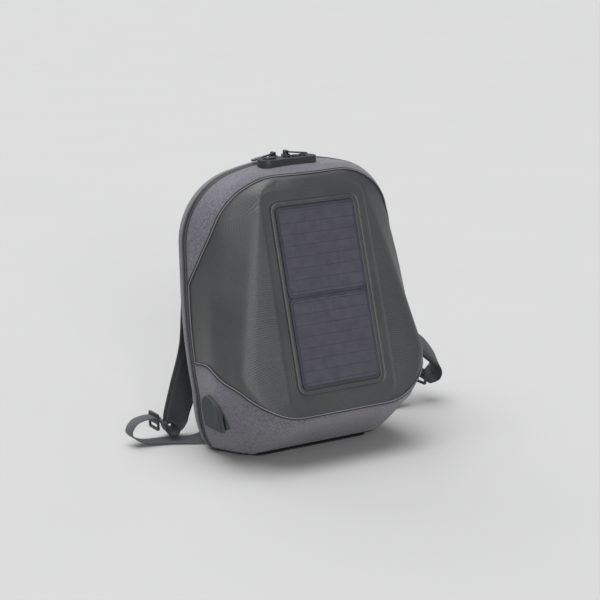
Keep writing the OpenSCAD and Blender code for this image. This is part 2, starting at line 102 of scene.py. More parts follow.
class Mat:
    """A Principled material with short helpers for its nodes."""

    def __init__(self, name, rough=0.6, metal=0.0, spec=0.5, sheen=0.0, coat=0.0, coat_rough=0.1):
        self.m = bpy.data.materials.new(name)
        self.m.use_nodes = True
        self.t = self.m.node_tree
        self.b = self.t.nodes["Principled BSDF"]
        for key, value in (("Roughness", rough), ("Metallic", metal), ("Specular IOR Level", spec),
                           ("Sheen Weight", sheen), ("Coat Weight", coat), ("Coat Roughness", coat_rough)):
            self.b.inputs[key].default_value = value

    def put(self, socket, value):
        if isinstance(value, bpy.types.NodeSocket):
            self.t.links.new(value, socket)
        else:
            socket.default_value = value

    def node(self, kind, **settings):
        n = self.t.nodes.new(kind)
        for key, value in settings.items():
            setattr(n, key, value)
        return n

    def uv(self):
        return self.node("ShaderNodeUVMap", uv_map="weave").outputs[0]

    def place(self):
        return self.node("ShaderNodeTexCoord").outputs["Object"]

    def math(self, op, a, b=0.0, clamp=False):
        n = self.node("ShaderNodeMath", operation=op, use_clamp=clamp)
        self.put(n.inputs[0], a)
        self.put(n.inputs[1], b)
        return n.outputs[0]

    def turned(self, vec, turn=0.0, scale=(1, 1, 1)):
        n = self.node("ShaderNodeMapping")
        self.put(n.inputs["Vector"], vec)
        n.inputs["Rotation"].default_value = (0, 0, turn)
        n.inputs["Scale"].default_value = scale
        return n.outputs[0]

    def split(self, vec):
        n = self.node("ShaderNodeSeparateXYZ")
        self.put(n.inputs[0], vec)
        return n.outputs

    def noise(self, vec, scale, detail=2.0, rough=0.5):
        n = self.node("ShaderNodeTexNoise")
        self.put(n.inputs["Vector"], vec)
        n.inputs["Scale"].default_value = scale
        n.inputs["Detail"].default_value = detail
        n.inputs["Roughness"].default_value = rough
        return n.outputs["Fac"]

    def cells(self, vec, scale):
        n = self.node("ShaderNodeTexVoronoi")
        self.put(n.inputs["Vector"], vec)
        n.inputs["Scale"].default_value = scale
        n.inputs["Randomness"].default_value = 0.15
        return n.outputs["Distance"]

    def span(self, value, low, high, to_low=0.0, to_high=1.0):
        n = self.node("ShaderNodeMapRange")
        self.put(n.inputs["Value"], value)
        for key, v in (("From Min", low), ("From Max", high), ("To Min", to_low), ("To Max", to_high)):
            n.inputs[key].default_value = v
        return n.outputs[0]

    def mix(self, amount, a, b):
        n = self.node("ShaderNodeMix", data_type="RGBA")
        self.put(n.inputs["Factor"], amount)
        self.put(n.inputs["A"], linear(a) if isinstance(a, str) else a)
        self.put(n.inputs["B"], linear(b) if isinstance(b, str) else b)
        return n.outputs["Result"]

    def weave(self, vec, pitch, turn=0.0, stretch=1.0):
        """Plain weave: (height of the yarns, which of the two yarns is on top)."""
        x, y, _ = self.split(self.turned(vec, turn))
        a = self.math("SINE", self.math("MULTIPLY", x, math.pi / pitch))
        b = self.math("SINE", self.math("MULTIPLY", y, math.pi / (pitch * stretch)))
        p = self.math("MULTIPLY", a, b)
        return self.math("ABSOLUTE", p), self.span(p, -0.12, 0.12)

    def colour(self, value):
        self.put(self.b.inputs["Base Color"], value)

    def rough(self, value):
        self.put(self.b.inputs["Roughness"], value)

    def bump(self, height, depth, strength=1.0, under=None):
        n = self.node("ShaderNodeBump")
        n.inputs["Strength"].default_value = strength
        n.inputs["Distance"].default_value = depth
        self.put(n.inputs["Height"], height)
        if under is not None:
            self.put(n.inputs["Normal"], under)
        self.put(self.b.inputs["Normal"], n.outputs[0])
        return n.outputs[0]


def melange(name, dark, light, pitch=0.0017):
    """Two-tone yarns with flecks, and a soft pile."""
    k = Mat(name, sheen=0.25, spec=0.3)
    uv = k.uv()
    across = k.noise(k.turned(uv, scale=(1, 0.3, 1)), 620, 3, 0.65)
    along = k.noise(k.turned(uv, scale=(0.3, 1, 1)), 620, 3, 0.65)
    h, top = k.weave(uv, pitch)
    flecks = k.math("ADD", k.math("MULTIPLY", across, 0.5), k.math("MULTIPLY", along, 0.5))
    tone = k.math("ADD", k.span(flecks, 0.38, 0.62), k.math("MULTIPLY", top, 0.22))
    tone = k.math("ADD", tone, k.span(k.noise(uv, 9, 2), 0.3, 0.7, -0.12, 0.12), clamp=True)
    k.colour(k.mix(tone, dark, light))
    k.rough(k.span(across, 0.3, 0.7, 0.72, 0.9))
    k.bump(k.math("ADD", h, k.math("MULTIPLY", flecks, 0.8)), 0.00035, 0.8)
    return k.m


def woven(name, dark, light, pitch, turn=0.0, rough=(0.6, 0.75), depth=0.0003, spec=0.4, sheen=0.1,
          mottle=0.16):
    """Plain woven cloth: two yarns crossing at a pitch, in two close shades, with painted highlight and shade
    on the yarns.
    """
    k = Mat(name, sheen=sheen, spec=spec)
    uv = k.uv()
    h, top = k.weave(uv, pitch, turn)
    yarn = k.noise(k.turned(uv, turn, (1, 0.2, 1)), 900, 2)
    wide = k.noise(uv, 14, 3)
    # top gives the two yarns their own shades; h paints the yarn crowns lighter and the gaps darker, as
    # painted highlight and shade
    tone = k.math("ADD", k.math("MULTIPLY", top, 0.42), k.math("MULTIPLY", h, 0.4))
    tone = k.math("ADD", tone, k.span(wide, 0.3, 0.7, -mottle, mottle))
    tone = k.math("ADD", tone, k.span(yarn, 0.3, 0.7, -0.1, 0.1), clamp=True)
    k.colour(k.mix(tone, dark, light))
    k.rough(k.span(k.math("ADD", k.math("MULTIPLY", wide, 0.6), k.math("MULTIPLY", yarn, 0.4)), 0.35, 0.65,
                   rough[0], rough[1]))
    k.bump(h, depth, 0.85)
    return k.m


def ribbed(name, dark, light, pitch=0.0013, rough=0.62):
    """Webbing: ribs across it, a herringbone through them, and rib crowns painted lighter than the troughs
    (painted highlight and shade).
    """
    k = Mat(name, spec=0.45, sheen=0.1)
    x, y, _ = k.split(k.uv())
    zigzag = k.math("ABSOLUTE", k.math("SINE", k.math("MULTIPLY", x, 500.0)))
    slant = k.math("ADD", y, k.math("MULTIPLY", zigzag, 0.0008))
    rib = k.math("ABSOLUTE", k.math("SINE", k.math("MULTIPLY", slant, math.pi / pitch)))
    fluff = k.noise(k.uv(), 700, 2)
    # rib height paints the crowns lighter and the troughs darker (painted highlight and painted shade); fluff
    # adds random tone
    k.colour(k.mix(k.math("ADD", k.math("MULTIPLY", rib, 0.6), k.math("MULTIPLY", fluff, 0.4)), dark, light))
    k.rough(k.span(fluff, 0.3, 0.7, rough - 0.08, rough + 0.12))
    k.bump(k.math("ADD", rib, k.math("MULTIPLY", fluff, 0.4)), 0.0003, 0.8)
    return k.m


def spacer(name, dark, light, scale=300):
    """Spacer mesh: rows of small round holes in a knitted face, with painted shade inside the holes."""
    k = Mat(name, spec=0.3, sheen=0.2)
    uv = k.uv()
    cell = k.cells(uv, scale)
    wall = k.span(cell, 0.16, 0.42)
    knit = k.noise(k.turned(uv, scale=(1, 0.4, 1)), 1100, 2)
    # wall paints the holes near black: painted shade inside them
    k.colour(k.mix(k.math("MULTIPLY", wall, k.span(knit, 0.2, 0.8, 0.6, 1.0)), dark, light))
    k.rough(k.span(knit, 0.3, 0.7, 0.75, 0.92))
    k.bump(wall, 0.0006, 0.9)
    return k.m


def plastic(name, dark, light, rough=(0.35, 0.5), grain=900, depth=0.00008, spec=0.5, coat=0.0):
    """Moulded plastic: fine spark-eroded grain, and duller scuffed patches."""
    k = Mat(name, spec=spec, coat=coat, coat_rough=0.15)
    p = k.place()
    fine = k.noise(p, grain, 2)
    wide = k.noise(p, 45, 4, 0.6)
    k.colour(k.mix(k.math("ADD", k.math("MULTIPLY", wide, 0.7), k.math("MULTIPLY", fine, 0.3)), dark, light))
    k.rough(k.span(wide, 0.35, 0.65, rough[0], rough[1]))
    k.bump(fine, depth, 0.7)
    return k.m


def metal(name, dark, light, rough=(0.22, 0.4)):
    """Brushed metal, drawn out along x."""
    k = Mat(name, metal=1.0)
    p = k.place()
    brush = k.noise(k.turned(p, scale=(1, 0.05, 0.05)), 2500, 2)
    wide = k.noise(p, 60, 3)
    k.colour(k.mix(k.math("ADD", k.math("MULTIPLY", brush, 0.6), k.math("MULTIPLY", wide, 0.4)), dark, light))
    k.rough(k.span(wide, 0.3, 0.7, rough[0], rough[1]))
    k.bump(brush, 0.00003, 0.6)
    return k.m


def circuit(name):
    """A circuit board: wandering copper tracks under green lacquer."""
    k = Mat(name, rough=0.35, coat=0.3)
    p = k.place()
    x = k.split(p)[0]
    tracks = k.math("GREATER_THAN", k.math("SINE", k.math("ADD", k.math("MULTIPLY", x, 1400.0),
                    k.math("MULTIPLY", k.noise(p, 60, 1), 9.0))), 0.7)
    k.colour(k.mix(tracks, "#173a22", "#3f7a45"))
    k.rough(k.span(k.noise(p, 200), 0.3, 0.7, 0.25, 0.45))
    k.bump(tracks, 0.00005)
    return k.m


def cell_material(name):
    """Cells under a dimpled film: busbars up, cuts across, with faint crystal mottling."""
    k = Mat(name, spec=0.5, coat=0.35, coat_rough=0.3)
    x, _, z = k.split(k.place())

    def wave(value, pitch):
        return k.math("ABSOLUTE", k.math("SINE", k.math("MULTIPLY", value, math.pi / pitch)))

    cut = k.math("GREATER_THAN", wave(z, 0.0159), 0.075)
    fine = wave(z, 0.0021)
    bar = k.math("LESS_THAN", wave(x, 0.031), 0.05)
    mottle = k.noise(k.place(), 70, 4, 0.6)
    base = k.mix(k.span(mottle, 0.35, 0.65), "#393842", "#403f4a")
    base = k.mix(k.math("MULTIPLY", fine, 0.3), base, "#4b4a55")
    base = k.mix(k.math("MULTIPLY", bar, 0.12), base, "#5e5d66")
    k.colour(k.mix(cut, "#2b2a32", base))
    dimple = k.cells(k.place(), 650)
    k.rough(k.span(mottle, 0.3, 0.7, 0.36, 0.5))
    k.bump(k.math("ADD", dimple, k.math("MULTIPLY", cut, 0.5)), 0.0002, 0.5)
    return k.m


M = {
    "melange": melange("melange_fabric", "#413f45", "#75737c"),
    "shell": woven("shell_weave", "#262728", "#48494a", 0.0023, math.radians(45), (0.34, 0.44), 0.00026, 0.75,
                   sheen=0.0, mottle=0.08),
    # a grey cord along the seam, lighter than the melange: its light tone is partly the cloth's own grey and
    # partly painted highlight along the edge
    "welt": woven("welt_fabric", "#66656b", "#8a8990", 0.0014, 0, (0.6, 0.75)),
    "piping": woven("piping_cord", "#141516", "#34363a", 0.0011, math.radians(35), (0.5, 0.65)),
    "dark": woven("dark_nylon", "#1c1d1f", "#3a3b3e", 0.0015, 0, (0.55, 0.7)),
    "strap": woven("strap_nylon", "#232426", "#4a4c4f", 0.0021, math.radians(45), (0.58, 0.75)),
    "binding": woven("binding_tape", "#131415", "#2b2c2e", 0.0009, math.radians(20), (0.5, 0.65)),
    "lining": woven("lining_nylon", "#33353a", "#5b5d64", 0.0012, 0, (0.4, 0.55), 0.0001, 0.5, 0.15),
    "mesh": spacer("spacer_mesh", "#090909", "#34363a"),
    "webbing": ribbed("webbing", "#232426", "#54565a"),
    "tape": ribbed("zip_tape", "#141517", "#2e3034", 0.0009),
    "thread": woven("thread", "#515359", "#86888e", 0.0006, math.radians(30), (0.5, 0.7)),
    "coil": plastic("zip_coil", "#151618", "#303236", (0.3, 0.45)),
    "laminate": plastic("laminate_film", "#2b2b33", "#3d3d47", (0.35, 0.5), 600, 0.0001, 0.5, 0.2),
    "cells": cell_material("solar_cell"),
    "black": plastic("black_plastic", "#151618", "#2c2e31"),
    "lock": plastic("lock_plastic", "#1a1b1d", "#333538", (0.42, 0.58), 500, 0.00006, 0.45),
    "dial": plastic("dial_plastic", "#0d0e0f", "#1f2123", (0.25, 0.4)),
    "rubber": plastic("rubber_cover", "#2b2d30", "#4a4c50", (0.55, 0.75), 1400, 0.00015, 0.35),
    "guard": plastic("base_rubber", "#17181a", "#2d2f32", (0.6, 0.8), 700, 0.0002, 0.35),
    "foam": plastic("stiffener_sheet", "#c9cacc", "#e4e5e6", (0.45, 0.6)),
    "steel": metal("steel", "#a3a5a8", "#d5d7d9"),
    "gunmetal": metal("gunmetal", "#3c3e42", "#6b6e73", (0.28, 0.5)),
    "circuit": circuit("circuit_board"),
}

# ---------------- mesh helpers
def new_object(name, verts, faces, material, smooth=True, uv=None):
    """A mesh object in the scene; uv is one value for each corner of each face."""
    me = bpy.data.meshes.new(name)
    me.from_pydata([tuple(v) for v in verts], [], [tuple(int(i) for i in f) for f in faces])
    if uv is not None:
        layer = me.uv_layers.new(name="weave")
        layer.data.foreach_set("uv", np.asarray(uv, dtype=np.float32).ravel())
    me.materials.append(M[material])
    me.polygons.foreach_set("use_smooth", [smooth] * len(me.polygons))
    me.update()
    o = bpy.data.objects.new(name, me)
    bpy.context.scene.collection.objects.link(o)
    return o


def loft(name, rings, material, uv=None, closed=True, caps=False, away=None, smooth=True):
    """Rings of points joined by quads. uv has one value a point, or one more along a closed ring."""
    rings = np.asarray(rings, float)
    m, n = rings.shape[:2]
    cols = n if closed else n - 1
    r, c = np.meshgrid(np.arange(m - 1), np.arange(cols), indexing="ij")
    r, c = r.ravel(), c.ravel()
    quads = np.stack([r * n + c, r * n + (c + 1) % n, (r + 1) * n + (c + 1) % n, (r + 1) * n + c], -1)
    if uv is None:
        step = np.linalg.norm(np.diff(np.concatenate([rings, rings[:, :1]], 1), axis=1), axis=2)
        across = np.concatenate([np.zeros((m, 1)), np.cumsum(step, 1)], 1)
        rise = np.concatenate([[0], np.cumsum(np.linalg.norm(np.diff(rings, axis=0), axis=2).mean(1))])
        uv = np.stack([across.mean(0)[None].repeat(m, 0), rise[:, None].repeat(n + 1, 1)], -1)
    uv = np.asarray(uv, float)
    wrap = uv.shape[1]
    after = (c + 1) % wrap
    corner = np.stack([uv[r, c], uv[r, after], uv[r + 1, after], uv[r + 1, c]], 1).reshape(-1, 2)
    verts = rings.reshape(-1, 3)
    if away is not None:
        p = verts[quads]
        normal = np.cross(p[:, 1] - p[:, 0], p[:, 3] - p[:, 0])
        if (normal * (p.mean(1) - np.asarray(away))).sum() < 0:
            quads = quads[:, ::-1]
            corner = corner.reshape(-1, 4, 2)[:, ::-1].reshape(-1, 2)
    faces = [list(q) for q in quads]
    if caps:
        faces += [list(range(n)), list(range((m - 1) * n, m * n))[::-1]]
        ends = [np.stack([f[:, 0] + f[:, 1], f[:, 2]], 1) for f in (rings[0], rings[-1][::-1])]
        corner = np.concatenate([corner] + ends)
    o = new_object(name, verts, faces, material, smooth, corner)
    if caps:
        bm = bmesh.new()
        bm.from_mesh(o.data)
        bmesh.ops.recalc_face_normals(bm, faces=bm.faces)
        bm.to_mesh(o.data)
        bm.free()
    return o


def mix(a, b, t):
    return a + (b - a) * t


def bend(a, b, c, t):
    """The curve from a to c that b pulls on."""
    return mix(mix(a, b, t), mix(b, c, t), t)


def spline(a, b, c, d, t):
    """The smooth curve from b to c, which looks back to a and on to d."""
    return 0.5 * (2 * b + (c - a) * t + (2 * a - 5 * b + 4 * c - d) * t * t
                  + (3 * b - 3 * c + d - a) * t ** 3)


def catmull(p, n):
    """A smooth path through a few points, n steps a stretch, as part.scad draws it."""
    p = np.asarray(p, float)
    out = []
    for i in range(len(p) - 1):
        a, b, c, d = p[max(i - 1, 0)], p[i], p[i + 1], p[min(i + 2, len(p) - 1)]
        for k in range(n):
            out.append(spline(a, b, c, d, k / n))
    return np.array(out + [p[-1]])


def side_at(sides, s):
    """The direction across a path at s from 0 to 1 along it, from a few given directions."""
    sides = np.asarray(sides, float)
    s *= len(sides) - 1
    i = min(int(s), len(sides) - 2)
    return mix(sides[i], sides[i + 1], s - i)


def frames_along(path, sides):
    """At each point of a path, the directions across it and out of it."""
    n = len(path)
    out = []
    for k in range(n):
        side = side_at(sides, k / (n - 1))
        h = path[min(k + 1, n - 1)] - path[max(k - 1, 0)]
        h /= np.linalg.norm(h)
        up = np.cross(h, side)
        up /= np.linalg.norm(up)
        out.append((np.cross(up, h), up))
    return out


def sweep(name, path, sides, section, material, caps=True):
    """section(s) gives the outline at s from 0 to 1 along the path, in metres."""
    fr = frames_along(path, sides)
    n = len(path)
    rings = [[path[k] + f[0] * q[0] - f[1] * q[1] for q in section(k / (n - 1))] for k, f in enumerate(fr)]
    return loft(name, rings, material, caps=caps)


def stitches(name, points, normals, material="thread", length=0.0032, gap=0.0016, width=0.0006, lift=0.0002):
    """Short thread segments laid along a line, each a small lozenge."""
    points, normals = np.asarray(points, float), np.asarray(normals, float)
    seg = np.linalg.norm(np.diff(points, axis=0), axis=1)
    run = np.concatenate([[0], np.cumsum(seg)])
    at = lambda d: np.array([np.interp(d, run, points[:, j]) for j in range(3)])
    up = lambda d: np.array([np.interp(d, run, normals[:, j]) for j in range(3)])
    verts, faces = [], []
    d = gap
    while d + length < run[-1]:
        a, b, u = at(d), at(d + length), up(d + length / 2)
        h = b - a
        size = np.linalg.norm(h)
        if size > length * 0.3:
            h /= size
            u = u - h * (u @ h)
            u /= max(np.linalg.norm(u), 1e-9)
            w = np.cross(h, u)
            i = len(verts)
            for p, t in ((a, 0.55), ((a + b) / 2, 1.0), (b, 0.55)):
                for s, q in ((-1, 0), (-0.6, 0.8), (0.6, 0.8), (1, 0)):
                    verts.append(p + w * s * width * 0.5 * t + u * (q * width * 0.7 * t + lift))
            for r in (0, 4):
                for c in range(3):
                    faces.append((i + r + c, i + r + c + 1, i + r + c + 5, i + r + c + 4))
            faces += [(i, i + 1, i + 2, i + 3), (i + 11, i + 10, i + 9, i + 8)]
        d += length + gap
    count = sum(len(f) for f in faces)
    return new_object(name, verts, faces, material, True, np.zeros((count, 2)))


def flat_piece(name, outline, thick, place, material, bevel):
    """A plate of sewn fabric: outline in metres, laid out by the matrix place, with rounded edges."""
    bm = bmesh.new()
    verts = [bm.verts.new((x, y, 0)) for x, y in outline]
    face = bm.faces.new(verts)
    top = bmesh.ops.extrude_face_region(bm, geom=[face])
    raised = [v for v in top["geom"] if isinstance(v, bmesh.types.BMVert)]
    bmesh.ops.translate(bm, vec=(0, 0, thick), verts=raised)
    bmesh.ops.recalc_face_normals(bm, faces=bm.faces)
    layer = bm.loops.layers.uv.new("weave")
    for f in bm.faces:
        end = abs(f.normal.x) > 0.5
        side = abs(f.normal.y) > 0.5
        for loop in f.loops:
            co = loop.vert.co
            loop[layer].uv = (co.x + (co.z if end else 0), co.y + (co.z if side else 0))
    bmesh.ops.transform(bm, matrix=place, verts=bm.verts)
    me = bpy.data.meshes.new(name)
    bm.to_mesh(me)
    bm.free()
    me.materials.append(M[material])
    o = bpy.data.objects.new(name, me)
    bpy.context.scene.collection.objects.link(o)
    soften(o, bevel)
    return o


def soften(o, width, segments=3, weld=False):
    """Round the sharp edges; weld first joins the loose triangles of a CAD mesh."""
    if weld:
        w = o.modifiers.new("weld", "WELD")
        w.merge_threshold = 0.00002
    b = o.modifiers.new("edges", "BEVEL")
    b.width = width
    b.segments = segments
    b.limit_method = "ANGLE"
    b.angle_limit = math.radians(35)
    b.harden_normals = True


def oval(rx, ry, n=10):
    return [(rx * math.cos(a), ry * math.sin(a)) for a in np.linspace(0, 2 * math.pi, n + 1)[:-1]]


def rounded_outline(w, h, r, n=8):
    x, y = w / 2 - r, h / 2 - r
    pts = []
    for cx, cy, a0 in ((x, y, 0), (-x, y, 90), (-x, -y, 180), (x, -y, 270)):
        for k in range(n + 1):
            a = math.radians(a0 + 90 * k / n)
            pts.append((cx + r * math.cos(a), cy + r * math.sin(a)))
    return pts


def done(o, body, slot, *nodes):
    """The piece rides on a body and may stand for CAD nodes, which it hides; slot is not used."""
    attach(o, body)
    if nodes:
        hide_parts(*nodes)
    return o

# ---------------- the body's own outlines, in millimetres
# points along half an outline: those of part.scad, made FINE times denser
FINE = 4
COUNTS = [(n - 1) * FINE + 1 for n in (9, 9, 13, 7, 7)]
TOP, CORNER, SIDE, BEND, BASE = COUNTS
HALF = sum(COUNTS) - 4
# the outline at the zip line: height and half width, then the radii of its top
BODY_H, HALF_W, TOP_R, CORNER_R = 430, 173, 365, 104
# its foot: half width, the bend up into the sides, and the base guards' thickness
BASE_W, BEND_H, BEND_W, BASE_T = 160, 91, 30, 2
# the panels' face: its lean, its reach in front of the zip line and its foot, then the size of one panel
LEAN, REACH, PANEL_Z, PANEL_W, PANEL_H = math.radians(15.6), 150, 118, 131.5, 132
# wall thickness, half the zip's width, depth of the rear half, and the zip line's place
WALL, TAPE, REAR, BACK_MM = 4, 7, 30, -12
# below this height the skins wear the base guards' rubber
BASE_GUARD_TOP = 8.5 * MM


def arc(cx, cz, rx, rz, a0, a1, n):
    a = np.linspace(a0, a1, n)
    return np.stack([cx + rx * np.cos(a), cz + rz * np.sin(a)], 1)


def rim_half(d):
    """Half the outline at the zip line, from the top's middle down to the base's, drawn in by d."""
    cx = HALF_W - CORNER_R
    dz = math.sqrt((TOP_R - CORNER_R) ** 2 - cx * cx)
    cz = BODY_H - TOP_R + dz
    a = math.atan2(dz, cx)
    s = np.linspace(0, 1, SIDE)
    e = np.maximum(0, (s - 0.3) / 0.7)
    parts = [arc(0, BODY_H - TOP_R, TOP_R - d, TOP_R - d, math.pi / 2, a, TOP),
             arc(cx, cz, CORNER_R - d, CORNER_R - d, a, 0, CORNER)[1:],
             np.stack([HALF_W - d - (HALF_W - BASE_W) * e * e, cz + (BEND_H - cz) * s], 1)[1:],
             arc(BASE_W - BEND_W, BEND_H, BEND_W - d, BEND_H - BASE_T - d, 0, -math.pi / 2, BEND)[1:],
             np.stack([np.linspace(BASE_W - BEND_W, 0, BASE), np.full(BASE, BASE_T + d)], 1)[1:]]
    return np.concatenate(parts)


def plate_half(wt, wb, top, low, rt, rb, d):
    """Half a plate's outline: half width and corner radius at its top and at its foot, drawn in by d."""
    parts = [np.linspace([0, top - d], [wt - rt, top - d], TOP),
             arc(wt - rt, top - rt, rt - d, rt - d, math.pi / 2, 0, CORNER)[1:],
             np.linspace([wt - d, top - rt], [wb - d, low + rb], SIDE)[1:],
             arc(wb - rb, low + rb, rb - d, rb - d, 0, -math.pi / 2, BEND)[1:],
             np.linspace([wb - rb, low + d], [0, low + d], BASE)[1:]]
    return np.concatenate(parts)


def on_plane(p, back=0.0):
    """Face coordinates (across, up) and depth behind the face, to millimetres from the zip line."""
    p = np.asarray(p, float)
    back = np.broadcast_to(back, p.shape[:-1])
    return np.stack([p[..., 0], -REACH + p[..., 1] * math.sin(LEAN) + back * math.cos(LEAN),
                     PANEL_Z + p[..., 1] * math.cos(LEAN) - back * math.sin(LEAN)], -1)


FACE_2D = plate_half(87, 89, 289, -35, 19.5, 19.5, 0)


def stations(d):
    """Eleven points from the zip out to the face, for each point of half an outline."""
    rim = rim_half(d)
    shoulder = plate_half(93, 154.5, 307, -46, 46, 86, d)
    a = np.stack([rim[:, 0], np.full(HALF, float(-TAPE)), rim[:, 1]], 1)
    gap = np.linalg.norm(shoulder - FACE_2D, axis=1)
    b = on_plane(shoulder, d + gap * 0.08)
    c = on_plane(FACE_2D, d)
    w = np.clip(1 - (rim[:, 1] - BASE_T - d) / (BEND_H - BASE_T), 0, 1)
    w = (w * w * (3 - 2 * w))[:, None]
    out = np.stack([a[:, 0], np.zeros(HALF), a[:, 2] - BODY_H / 2], 1)
    out /= np.linalg.norm(out, axis=1)[:, None]
    up = np.maximum(0, out[:, 2:3]) ** 2
    chord = mix(a, b, 0.57) + out * mix(19, 5, up)
    knee = np.stack([mix(a[:, 0], b[:, 0], 0.59), np.full(HALF, -62.0), a[:, 2]], 1)
    m = mix(chord, knee, w)
    rise, fall = mix(a, m, 0.78), mix(m, b, 0.22)
    brow, lip = mix(m, b, 0.74), mix(b, c, 0.4)
    return np.stack([a, mix(a, m, 0.4), rise, bend(rise, m, fall, 0.5), fall, mix(m, b, 0.48), brow,
                     bend(brow, b, lip, 0.35), bend(brow, b, lip, 0.7), mix(b, c, 0.45), c], 1)


LAST = 10  # the number of the station on the face


def profile(st, q):
    """The smooth curve through each row's stations, at one q a row."""
    q = np.clip(q, 0, LAST)
    i = np.minimum(np.floor(q).astype(int), LAST - 1)
    k = np.arange(len(q))
    return spline(st[k, np.maximum(i - 1, 0)], st[k, i], st[k, i + 1], st[k, np.minimum(i + 2, LAST)],
                  (q - i)[:, None])


RIM = rim_half(0)
Z = RIM[:, 1]
# the shell's seam runs beside the zip, and leaves it above one height and below another
SEAM_HIGH, SEAM_LOW, BESIDE_ZIP = 257, 140, 0.12
over = 6.4 * (Z - SEAM_HIGH) / (BODY_H - SEAM_HIGH)
under = 9.3 * np.clip((SEAM_LOW - Z) / (SEAM_LOW - BASE_T), 0, 1) ** 0.66
SEAM = np.maximum(BESIDE_ZIP, np.where(Z > SEAM_HIGH, over, np.where(Z < SEAM_LOW, under, BESIDE_ZIP)))
OUTER, LINED = stations(0), stations(WALL)
# the shell is unfolded onto the face's plane, so that the weave runs on over its edges
GRID_Q = np.linspace(0, LAST, 101)
dense = np.stack([profile(OUTER, np.full(HALF, q)) for q in GRID_Q], 1)
STEP = np.linalg.norm(np.diff(dense, axis=1), axis=2)
RUN = np.concatenate([np.cumsum(STEP[:, ::-1], 1)[:, ::-1], np.zeros((HALF, 1))], 1)
AWAY = RIM * [1, 1 / math.cos(LEAN)] - [0, PANEL_Z / math.cos(LEAN)] - FACE_2D
AWAY /= np.linalg.norm(AWAY, axis=1)[:, None]


def unfolded(q):
    """Cloth coordinates, in metres, of the points at q on the outer profiles."""
    run = np.array([np.interp(v, GRID_Q, RUN[k]) for k, v in enumerate(q)])
    return (FACE_2D + AWAY * run[:, None]) * MM


def mirrored(h, flip=(-1, 1, 1)):
    """A whole ring from half of one."""
    return np.concatenate([h, (h[1:-1] * flip[:h.shape[1]])[::-1]])


def metres(p):
    """Millimetres from the zip line to metres in the frame."""
    return (np.asarray(p, float) + [0, BACK_MM, 0]) * MM


def skin_rings(st, qs):
    rings = [mirrored(profile(st, q)) for q in qs]
    uvs = [mirrored(unfolded(q), (-1, 1)) for q in qs]
    return [metres(r) for r in rings], uvs


MIDDLE = (0, -0.07, 0.21)
front_qs = [SEAM * s for s in np.linspace(0, 1, 20)]
rings, uvs = skin_rings(OUTER, front_qs)
# the fabric is pressed in a little where the port's cover folds back onto it
DIMPLE_AT, DIMPLE_DEEP, DIMPLE_WIDE = metres([-169, -82, 92]), 0.0018, 0.028


def dimpled(ring):
    away = np.linalg.norm(ring - DIMPLE_AT, axis=1)[:, None]
    return ring + [[DIMPLE_DEEP, 0, 0]] * np.exp(-(away / DIMPLE_WIDE) ** 2)


front_fabric = loft("front_fabric", [dimpled(r) for r in rings], "melange", uvs, away=MIDDLE)
front_fabric.data.materials.append(M["guard"])
centres = np.zeros(len(front_fabric.data.polygons) * 3)
front_fabric.data.polygons.foreach_get("center", centres)
low = centres.reshape(-1, 3)[:, 2] < BASE_GUARD_TOP
front_fabric.data.polygons.foreach_set("material_index", low.astype(int))
done(front_fabric, "front_half", "melange_fabric", "front_body")

# shell: out to the face, over its ridge, then flat to the groove round the panels
shell_qs = [SEAM + (LAST - SEAM) * s for s in np.linspace(0, 1, 44)]
rings, uvs = skin_rings(OUTER, shell_qs)
SEAT_DEEP = 0.9
HOLD = plate_half(PANEL_W / 2 + 7, PANEL_W / 2 + 7, 2 * PANEL_H + 8, -8, 14, 14, 0)
# how far in towards the panels, and how deep
SEAT = ((0.03, 0.15), (0.3, 0.1), (0.6, 0.0), (0.8, 0.0), (0.9, 0.0), (0.95, 0.7), (0.975, SEAT_DEEP),
        (1.0, SEAT_DEEP), (1.08, SEAT_DEEP))
for t, depth in SEAT:
    flat = FACE_2D + (HOLD - FACE_2D) * t
    rings.append(metres(mirrored(on_plane(flat, depth))))
    uvs.append(mirrored(flat * MM, (-1, 1)))
core = HOLD * [0.5, 1] * [1, 0.5] + [0, PANEL_H * 0.5]
rings.append(metres(mirrored(on_plane(core, SEAT_DEEP))))
uvs.append(mirrored(core * MM, (-1, 1)))
shell = loft("shell_skin", rings, "shell", uvs, away=MIDDLE)
done(shell, "front_half", "shell", "hard_shell")

rings, uvs = skin_rings(LINED, [np.full(HALF, q) for q in np.linspace(0.05, LAST, 40)])
for t in (0.5, 1.0):
    flat = FACE_2D * (1 - t * 0.6) + [0, PANEL_H * t * 0.6]
    rings.append(metres(mirrored(on_plane(flat, WALL + 0.3))))
    uvs.append(mirrored(flat * MM, (-1, 1)))
lining = loft("front_lining", rings, "lining", uvs, away=MIDDLE)
done(lining, "front_half", "dark_fabric")

# the hem that joins the fabric to its lining behind the zip tape
hem = loft("front_hem", [metres(mirrored(OUTER[:, 0])), metres(mirrored(LINED[:, 0]))], "dark",
           away=(0, 0.3, 0.2))
done(hem, "front_half", "dark_fabric")

seam = mirrored(profile(OUTER, SEAM))
ahead = np.roll(seam, -1, 0) - np.roll(seam, 1, 0)
ahead /= np.linalg.norm(ahead, axis=1)[:, None]
radial = np.cross(ahead, np.cross(seam - [0, -60, 230], ahead))
radial /= np.linalg.norm(radial, axis=1)[:, None]
side_dir = np.cross(ahead, radial)


